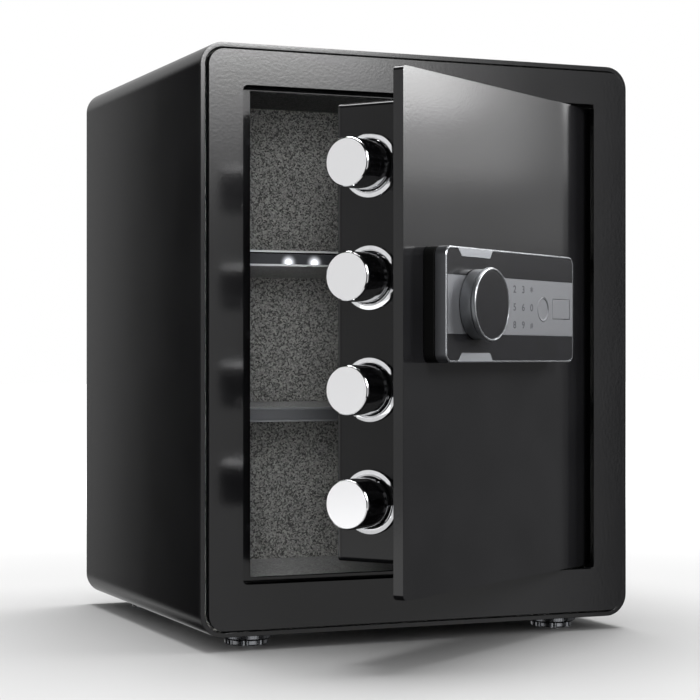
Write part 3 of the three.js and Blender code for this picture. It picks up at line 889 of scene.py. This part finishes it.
def door_box():
    """The folded steel box on the back of the door, open behind, with the bolts' holes."""
    low, high = shut_box("door_box")
    piece = rounded_block("door_box_shell", low, high, 3.5 * MM, 10)
    wall = Vector((BOX_WALL, -MM, BOX_WALL))
    carve(piece, block("hollow", low + wall, high - wall))
    for k in BOLTS:
        carve(piece, bolt_hole(shut_middle(f"bolt_{k}"), low.x - 2 * MM, 8 * MM))
    pin = Vector((HINGE.x, HINGE.y, 0))
    for z in (low.z - MM, high.z - 5 * MM):
        profile = [(PIN_BORE, z), (PIN_BORE, z + 6 * MM)]
        carve(piece, turned("pin_hole", profile, pin, "+z", 48))
    shade(piece)
    on_door(piece, "inner_paint", ["door_box"])


def door_cover():
    """The screwed cover on the back of the door, with the opening for the battery lid."""
    low, high = shut_box("door_cover")
    piece = rounded_block("door_cover_panel", low, high, 3 * MM, 5)
    lid_low, lid_high = shut_box("battery_lid")
    room = Vector((0.6, 5, 0.6)) * MM
    carve(piece, block("lid_opening", lid_low - room, lid_high + room))
    soften(piece, 0.2 * MM, 2)
    on_door(piece, "paint", ["door_cover"])
    inset = 8 * MM
    centre = middle(low, high)
    for i, x in enumerate((low.x + inset, centre.x - 30 * MM, high.x - inset)):
        for j, z in enumerate((low.z + inset, centre.z, high.z - inset)):
            if (i, j) != (1, 1):  # screws all round, and none over the lock's works
                cover_screw(f"cover_screw_{i + 1}{j + 1}", (x, high.y - 0.2 * MM, z))


def cover_screw(name, place):
    """A small pan-head screw with a cross recess."""
    head = [(2.9 * MM, 0), (2.9 * MM, 0.5 * MM), (2.4 * MM, 1.1 * MM), (1.5 * MM, 1.4 * MM)]
    piece = turned(name, head, place, "+y", 32)
    x, y, z = place
    for half in ((1.7, 0.32), (0.32, 1.7)):
        reach = Vector((half[0] * MM, 0.9 * MM, half[1] * MM))
        centre = Vector((x, y + 1.6 * MM, z))
        carve(piece, block("recess", centre - reach, centre + reach))
    shade(piece)
    on_door(piece, "zinc")


def bolts():
    """Chrome locking bolts: a ground face inside a rolled edge, on a mirror-bright barrel."""
    for k in BOLTS:
        low, high = shut_box(f"bolt_{k}")
        centre = middle(low, high)
        radius = (high.z - low.z) / 2
        length = high.x - low.x
        profile = [
            (radius - 0.6 * MM, 0),
            (radius, 0.6 * MM),
            (radius, length - 1.3 * MM),
            (radius - 0.2 * MM, length - 0.7 * MM),
            (radius - 0.6 * MM, length - 0.25 * MM),
            (radius - 1.2 * MM, length),
            (radius - 1.4 * MM, length),
        ]
        piece = turned(f"chrome_bolt_{k}", profile, (high.x, centre.y, centre.z), "-x", 128)
        shade(piece, 25)
        two_tone(piece, "chrome", "bolt_face", facing(0, -1))
        on_door(piece, None, [f"bolt_{k}"], body="bolts")


def bolt_rings():
    """Dished collars round the bolts, with a rolled lip against the barrel."""
    for k in BOLTS:
        low, high = shut_box(f"bolt_ring_{k}")
        centre = middle(low, high)
        outer = (high.z - low.z) / 2
        profile = [
            (BOLT_BORE, 0),
            (outer - 0.2 * MM, 0),
            (outer, 0.3 * MM),
            (outer - 0.05 * MM, 1.4 * MM),
            (outer - 0.35 * MM, 1.95 * MM),
            (BOLT_BORE + 1.8 * MM, 2.4 * MM),
            (BOLT_BORE + 1.5 * MM, 2.35 * MM),
            (BOLT_BORE + 1.35 * MM, 2.1 * MM),
            (BOLT_BORE + 1.25 * MM, 1.2 * MM),
            (BOLT_BORE + 0.95 * MM, 1.2 * MM),
            (BOLT_BORE + 0.9 * MM, 2.1 * MM),
            (BOLT_BORE + 0.7 * MM, 2.5 * MM),
            (BOLT_BORE + 0.4 * MM, 2.6 * MM),
            (BOLT_BORE + 0.1 * MM, 2.4 * MM),
        ]
        place = (high.x, centre.y, centre.z)
        piece = turned(f"bolt_collar_{k}", profile, place, "-x", 128, hollow=True)
        shade(piece, 35)
        on_door(piece, "chrome", [f"bolt_ring_{k}"])


# ---------------------------------------------------------------- lock panel

RIM = 0.8 * MM
CHAMFER = 0.6 * MM
INLAY = 1.3 * MM
LOCK_CORNER = 7 * MM
SEAL_STEP = 1.2 * MM


def lock_base():
    """The moulded back of the lock, and a narrower seal that parts it from the metal frame."""
    low, high = shut_box("lock_base")
    piece = rounded_block("lock_base_moulding", low, high, LOCK_CORNER, 10)
    carve(piece, spindle_bore())
    soften(piece, 0.6 * MM, 4)
    on_door(piece, "plastic", ["lock_base"])
    bezel_back = shut_box("lock_bezel")[1].y
    inset = Vector((1, 0, 1)) * SEAL_STEP
    seal_low = Vector((low.x, bezel_back - 0.2 * MM, low.z)) + inset
    seal_high = Vector((high.x, low.y + 0.2 * MM, high.z)) - inset
    seal = rounded_block("lock_seal", seal_low, seal_high, LOCK_CORNER - SEAL_STEP, 8)
    carve(seal, spindle_bore())
    soften(seal, 0.15 * MM, 2)
    on_door(seal, "plastic")


def lock_bezel():
    """The metal frame of the lock: a chamfer and rim in a paler tone, a painted highlight, round a
    pocket for the inlays.
    """
    low, high = shut_box("lock_bezel")
    front = (low.x, low.y + CHAMFER, low.z)
    piece = rounded_block("lock_bezel_frame", front, high, LOCK_CORNER, 12)
    pick(piece, "FACE", facing(1, -1))
    bpy.ops.mesh.inset(thickness=CHAMFER, depth=CHAMFER)
    bpy.ops.mesh.inset(thickness=RIM)
    bpy.ops.mesh.inset(thickness=0.05 * MM, depth=-INLAY - 0.1 * MM)
    close()
    face = low.y
    carve(piece, spindle_bore())
    sensor_low, sensor_high = shut_box("fingerprint_sensor")
    sensor = middle(sensor_low, sensor_high)
    radius = (sensor_high.z - sensor_low.z) / 2 + 0.3 * MM
    bore = [(radius, 0), (radius, 8 * MM)]
    carve(piece, turned("bore", bore, (sensor.x, face + 4 * MM, sensor.z), "-y", 96))
    flap_low, flap_high = shut_box("key_flap")
    well_low = Vector((flap_low.x - 0.4 * MM, face - MM, flap_low.z - 0.4 * MM))
    well_high = Vector((flap_high.x + 0.6 * MM, face + 5 * MM, flap_high.z + 0.4 * MM))
    carve(piece, block("key_well", well_low, well_high))

    def rim(centre, normal):
        in_front = centre.y < face + CHAMFER * 0.95
        between = low.x + 2 * MM < centre.x < high.x - 2 * MM
        level = low.z + 2 * MM < centre.z < high.z - 2 * MM
        return in_front and not (between and level) and abs(normal.y) > 0.5

    soften(piece, 0.12 * MM, 2, 40)
    # the chamfer and rim take the paler edge finish, a painted highlight along the lit edge
    two_tone(piece, "bezel", "edge", rim)
    on_door(piece, None, ["lock_bezel"])
    for end, (edge, inner) in {"top": (high.z, -1), "bottom": (low.z, 1)}.items():
        lock_tab(f"lock_tab_{end}", low, face, edge, inner)


TAB_LEFT, TAB_RIGHT = 16.6 * MM, 67.7 * MM  # from the bezel's left side, at the border
TAB_TIP = 41.1 / 51.1  # how much narrower its inner end is
TAB_REACH = 6 * MM


def lock_tab(name, bezel_low, face, edge, inner):
    """A bright tab that steps in from the border, narrower towards its tip."""
    start = edge + inner * 0.9 * MM
    end = edge + inner * (0.8 * MM + TAB_REACH)
    low = (bezel_low.x + TAB_LEFT, face - 0.02 * MM, min(start, end))
    high = (bezel_low.x + TAB_RIGHT, face + INLAY, max(start, end))
    piece = block(name, low, high)
    pick(piece, "FACE", facing(2, inner))
    centre = ((low[0] + high[0]) / 2 - MM, 0, 0)
    bpy.ops.transform.resize(value=(TAB_TIP, 1, 1), center_override=centre)
    bpy.ops.transform.translate(value=(MM, 0, 0))
    close()
    soften(piece, 0.15 * MM, 2)
    on_door(piece, "tab")


KEYS = ("123*", "4560", "789#")
KEY_COLUMNS = (87.5, 101.1, 114.7, 128.0)  # from the bezel's left side, in mm
KEY_ROWS = (12.8, -0.3, -13.3)  # above the middle of the band, in mm
KEY_SIZE = 7.6 * MM
KEY_WIDTH = 1.25  # how much wider than plain the marks are drawn
MARK_SIZES = {"*": 1.25, "#": 0.75}
MARK_NAMES = {"*": "star", "#": "hash"}
STAR_DROP = 1.3 * MM  # a star sits high in its line, so it is brought down to the middle


def keypad():
    """Printed key marks on the band, a hair's breadth thick."""
    low, high = shut_box("keypad_band")
    left = shut_box("lock_bezel")[0].x
    mid = middle(low, high).z
    for row, marks in zip(KEY_ROWS, KEYS):
        for column, mark in zip(KEY_COLUMNS, marks):
            begin()
            bpy.ops.object.text_add(rotation=(math.pi / 2, 0, 0))
            text = bpy.context.object
            text.data.body = mark
            text.data.size = KEY_SIZE * MARK_SIZES.get(mark, 1.0)
            text.data.align_x = "CENTER"
            text.data.align_y = "CENTER"
            text.data.offset = 0.08 * MM
            text.data.extrude = 0.03 * MM
            text.data.resolution_u = 4
            drop = STAR_DROP if mark == "*" else 0
            text.location = (left + column * MM, low.y - 0.02 * MM, mid + row * MM - drop)
            text.scale.x = KEY_WIDTH
            bpy.ops.object.convert(target="MESH")
            text = bpy.context.object
            text.name = f"key_mark_{MARK_NAMES.get(mark, mark)}"
            settle()
            on_door(text, "print")


def fingerprint_pad():
    """The fingerprint reader: a raised ring round a shallow dish."""
    low, high = shut_box("fingerprint_sensor")
    radius = (high.z - low.z) / 2
    centre = middle(low, high)
    profile = [
        (radius - 0.2 * MM, 0),
        (radius, 0.2 * MM),
        (radius, 3.4 * MM),
        (radius - 0.15 * MM, 3.6 * MM),
        (radius - 0.5 * MM, 3.78 * MM),
        (radius - 0.9 * MM, 3.7 * MM),
        (radius - 1.2 * MM, 3.3 * MM),
        (radius - 1.6 * MM, 3.2 * MM),
        (radius - 4.5 * MM, 3.3 * MM),
    ]
    piece = turned("fingerprint_pad", profile, (centre.x, high.y, centre.z), "-y", 96)
    shade(piece, 30)
    on_door(piece, "band", ["fingerprint_sensor"])


def key_flap():
    """The flap over the emergency keyhole, its edges just broken."""
    low, high = shut_box("key_flap")
    piece = block("key_flap_plate", low, high)
    soften(piece, 0.25 * MM, 3)
    on_door(piece, "band", ["key_flap"], body="key_flap")


def knob():
    """The turned knob: a satin barrel, a groove, and a rolled rim in a paler tone, a painted
    highlight, round a dark cap.
    """
    low, high = shut_box("knob")
    centre = middle(low, high)
    rim = (high.z - low.z) / 2
    barrel = rim - 1.2 * MM
    deep = high.y - low.y
    profile = [
        (barrel - 0.4 * MM, 0),
        (barrel, 0.4 * MM),
        (barrel, deep - 4.6 * MM),
        (barrel - 0.5 * MM, deep - 4.2 * MM),
        (barrel - 0.5 * MM, deep - 3.7 * MM),
        (rim - 0.5 * MM, deep - 3.3 * MM),
        (rim, deep - 2.7 * MM),
        (rim, deep - 1.2 * MM),
        (rim - 0.25 * MM, deep - 0.5 * MM),
        (rim - 0.7 * MM, deep - 0.1 * MM),
        (rim - 1.1 * MM, deep),
        (rim - 1.6 * MM, deep - 0.1 * MM),
        (rim - 1.9 * MM, deep - 0.5 * MM),
        (rim - 1.95 * MM, deep - 1.7 * MM),
    ]
    piece = turned("knob_barrel", profile, (centre.x, high.y, centre.z), "-y", 128)
    shade(piece, 30)
    front = low.y + 0.7 * MM

    def rolled(face_centre, normal):
        reach = math.hypot(face_centre.x - centre.x, face_centre.z - centre.z)
        return face_centre.y < front and reach > rim - 1.93 * MM

    # the rolled rim takes the paler edge finish, a painted highlight on the lit rim
    two_tone(piece, "knob", "edge", rolled)
    on_door(piece, None, ["knob"], body="knob")
    cap_low, cap_high = shut_box("knob_cap")
    radius = rim - 2.05 * MM
    thick = cap_high.y - cap_low.y
    face = [
        (radius, 0),
        (radius, thick - 0.25 * MM),
        (radius - 0.25 * MM, thick),
        (radius - 3 * MM, thick + 0.05 * MM),
    ]
    cap = turned("knob_cap_disc", face, (centre.x, cap_high.y, centre.z), "-y", 128)
    shade(cap, 30)
    on_door(cap, "glass", ["knob_cap"], body="knob")


# ---------------------------------------------------------------- finishes of the CAD nodes

NODE_FINISHES = {  # by material slot
    "black_paint": "paint",
    "felt": "felt",
    "chrome": "chrome",
    "shelf_trim": "trim",
    "led_lens": "window",
    "zinc_steel": "zinc",
    "brass": "brass",
    "black_plastic": "plastic",
    "satin_grey_metal": "bezel",
    "black_glass": "glass",
    "circuit": "board",
}


def finish_nodes():
    """Gives every CAD node the finish of its slot; the keypad's band has its own."""
    for subpart in frame["record"]["subparts"]:
        finish = NODE_FINISHES[subpart["material_slot"]]
        if subpart["node"] == "keypad_band":
            finish = "band"
        materials = frame["nodes"][subpart["node"]].data.materials
        materials.clear()
        materials.append(MATERIALS[finish])


# ---------------------------------------------------------------- floor and light


def backdrop():
    """A matt pale floor, not mirrored in the safe, with a painted glow that brightens it to white
    away from the safe.
    """
    begin()
    bpy.ops.mesh.primitive_plane_add(size=30)
    floor = bpy.context.object
    floor.name = "studio_floor"
    made, tree, shader, place = start_material("pale_studio_floor")
    cloud = noise(tree, place, 0.6, 2)
    # painted glow: the floor's emission rises from none within 0.45 m of the origin to full at 1.9
    # m, so it is white far off and darker round the safe
    away = add(tree, "VectorMath", {0: place}, operation="LENGTH").outputs["Value"]
    reach = {"Value": away, "From Min": 0.45, "From Max": 1.9, "To Min": 0, "To Max": 1}
    painted_glow = add(tree, "MapRange", reach, interpolation_type="SMOOTHSTEP").outputs["Result"]
    feed(
        tree,
        shader,
        Base_Color=ramp(tree, cloud, [(0.2, "#dadada"), (0.8, "#dedede")]),
        Roughness=0.45,
        Specular_IOR_Level=0.3,
        Emission_Color=colour("#ffffff"),
        Emission_Strength=painted_glow,
    )
    floor.data.materials.append(made)
    floor.visible_glossy = False
    return floor


def softbox(name, place, aim, size, bright, spread=180, lit=None):
    """A soft light of this size; bright is how bright its face looks, spread is the angle it
    shines in, in degrees, and lit is the light-linking collection of what it may light."""
    light = bpy.data.lights.new(name, "AREA")
    light.shape = "RECTANGLE"
    light.size, light.size_y = size
    light.energy = bright * math.pi * size[0] * size[1]
    light.spread = math.radians(spread)
    rig = bpy.data.objects.new(name, light)
    bpy.context.scene.collection.objects.link(rig)
    rig.visible_camera = False
    rig.location = place
    rig.rotation_euler = (Vector(aim) - Vector(place)).to_track_quat("-Z", "Y").to_euler()
    if lit:
        rig.light_linking.receiver_collection = lit


def feathered(name, place, aim, size, layers, lit):
    """A softbox whose brightness falls off towards its edge, made of layers: how much larger
    than this size each is, and how bright."""
    for i, (grow, bright) in enumerate(layers):
        larger = (size[0] + grow, size[1] + grow)
        softbox(f"{name}_{i + 1}", place, aim, larger, bright, 110, lit)


def linked(name, things, state):
    """A light-linking collection. A light that has it lights only these things where the state
    is INCLUDE, or all but these where it is EXCLUDE."""
    group = bpy.data.collections.new(name)
    for index, thing in enumerate(things):
        group.objects.link(thing)
        group.collection_objects[index].light_linking.link_state = state
    return group


SKY_SEEN, SKY_DIFFUSE, SKY_GLOSSY = 1.0, 0.55, 0.008
SIDE_LAYERS = ((0.0, 8.0), (0.2, 3.1), (0.44, 0.9), (0.74, 0.25))
FRONT_LAYERS = ((0.0, 9.5), (0.2, 3.8), (0.42, 1.4), (0.7, 0.4))
BACK_LAYERS = ((0.0, 0.18), (0.12, 0.11), (0.24, 0.08))
LINING = ("felt_base", "felt_left", "felt_right", "back_felt", "floor_felt", "shelf", "light_")


def studio(floor):
    """A pale room that lights softly and reflects dark, with softboxes for the highlights."""
    bpy.context.scene.view_settings.view_transform = "Standard"
    world = bpy.data.worlds.new("studio")
    bpy.context.scene.world = world
    world.use_nodes = True
    tree = world.node_tree
    ground = tree.nodes["Background"]
    ground.inputs["Color"].default_value = (1, 1, 1, 1)
    path = add(tree, "LightPath").outputs
    seen = {"Value": path["Is Camera Ray"], "To Min": SKY_DIFFUSE, "To Max": SKY_SEEN}
    seen = add(tree, "MapRange", seen).outputs["Result"]
    glossy = {"Value": path["Is Glossy Ray"], "To Min": 1, "To Max": SKY_GLOSSY / SKY_DIFFUSE}
    glossy = add(tree, "MapRange", glossy).outputs["Result"]
    strength = add(tree, "Math", {0: seen, 1: glossy}, operation="MULTIPLY").outputs[0]
    tree.links.new(strength, ground.inputs["Strength"])
    pieces = bpy.context.scene.objects
    lining = [piece for piece in pieces if any(part in piece.name for part in LINING)]
    safe = linked("all_but_the_floor", [floor], "EXCLUDE")
    fronts = linked("all_but_the_shell", [floor, pieces["safe_shell"]], "EXCLUDE")
    inside = linked("the_lining", lining, "INCLUDE")
    feathered("right_key", (1.85, -0.45, 1.12), (-0.05, -0.2, 0.4), (0.8, 0.8), SIDE_LAYERS, safe)
    feathered("front_key", (0.47, -2.16, 1.24), (-0.1, 0, 0.4), (0.6, 0.8), FRONT_LAYERS, fronts)
    softbox("overhead", (0.15, 0.35, 2.3), (0.1, 0.15, 0), (1.6, 1.4), 9.8)
    softbox("top_card", (-0.8, 0.9, 2.2), (-0.1, -0.1, 0.45), (0.7, 0.7), 9, 180, fronts)
    softbox("edge_card", (1.5, 0.75, 1.5), (-0.05, -0.1, 0.3), (0.9, 0.5), 9, 180, fronts)
    softbox("right_wall", (2.6, 0.1, 0.6), (0, 0, 0.4), (3.0, 3.0), 0.17, 180, safe)
    softbox("front_wall", (0.6, -3.0, 0.5), (0.2, 0, 0.3), (2.4, 3.0), 0.76, 180, safe)
    softbox("left_wall", (-2.0, -0.2, 0.4), (0, -0.15, 0.25), (1.3, 1.5), 0.83, 180, safe)
    feathered("back_wall", (0.05, 1.95, 0.6), (0.05, 0, 0.4), (1.34, 2.4), BACK_LAYERS, safe)
    softbox("low_card", (-0.8, -0.42, 0.002), (-0.8, -0.42, 1), (1.1, 0.66), 0.7)
    softbox("inside_fill", (-0.62, -1.41, 0.3), (-0.13, 0.2, 0.25), (0.4, 0.4), 10.5, 60, inside)


# ---------------------------------------------------------------- build

set_camera()
shell()
back_plate()
front_panel()
door_rebate()
felt_panels()
shelf_boards()
shelf_trims()
light_bar()
feet()
door_plate()
door_box()
door_cover()
bolts()
bolt_rings()
lock_base()
lock_bezel()
keypad()
fingerprint_pad()
key_flap()
knob()
finish_nodes()
studio(backdrop())
